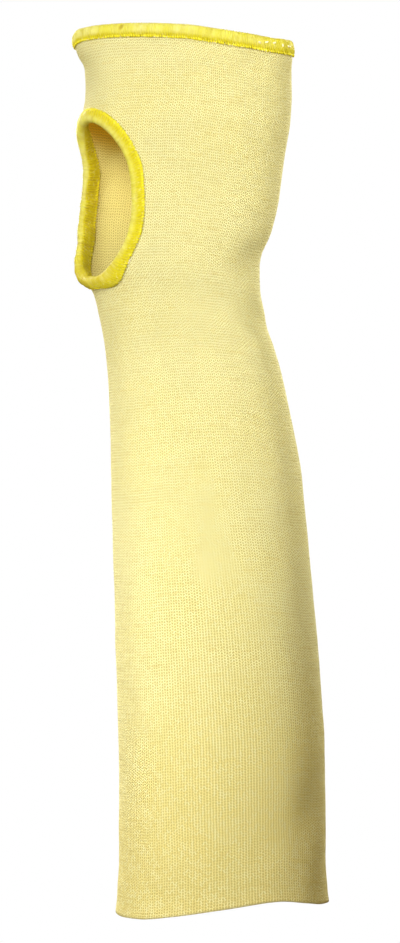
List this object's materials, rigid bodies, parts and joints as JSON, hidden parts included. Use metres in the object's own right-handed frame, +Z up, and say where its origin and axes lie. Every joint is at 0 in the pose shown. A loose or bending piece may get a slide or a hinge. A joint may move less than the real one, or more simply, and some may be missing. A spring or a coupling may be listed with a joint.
{
  "type": "cut resistant sleeve",
  "caption": "Knitted cut resistant sleeve for the forearm and hand: a seamless tube waisted at the wrist, with a thread-bound thumb hole and hand edge.",
  "frame": {"origin": "centre of the opening at the arm end, where the arm goes in", "axes": "+Z up the sleeve to the hand end, -X to the thumb side, -Y to the side with the near lip of the thumb hole"},
  "size_m": [0.1027, 0.0724, 0.355],
  "materials": {
    "knit": "matte pale yellow plain knit of spun aramid yarn",
    "binding_thread": "bright yellow overlock thread with a soft satin sheen"
  },
  "bodies": {
    "root": {"knit_sleeve": "knit", "hand_edge_binding": "binding_thread", "thumb_edge_binding": "binding_thread"}
  },
  "joints": []
}
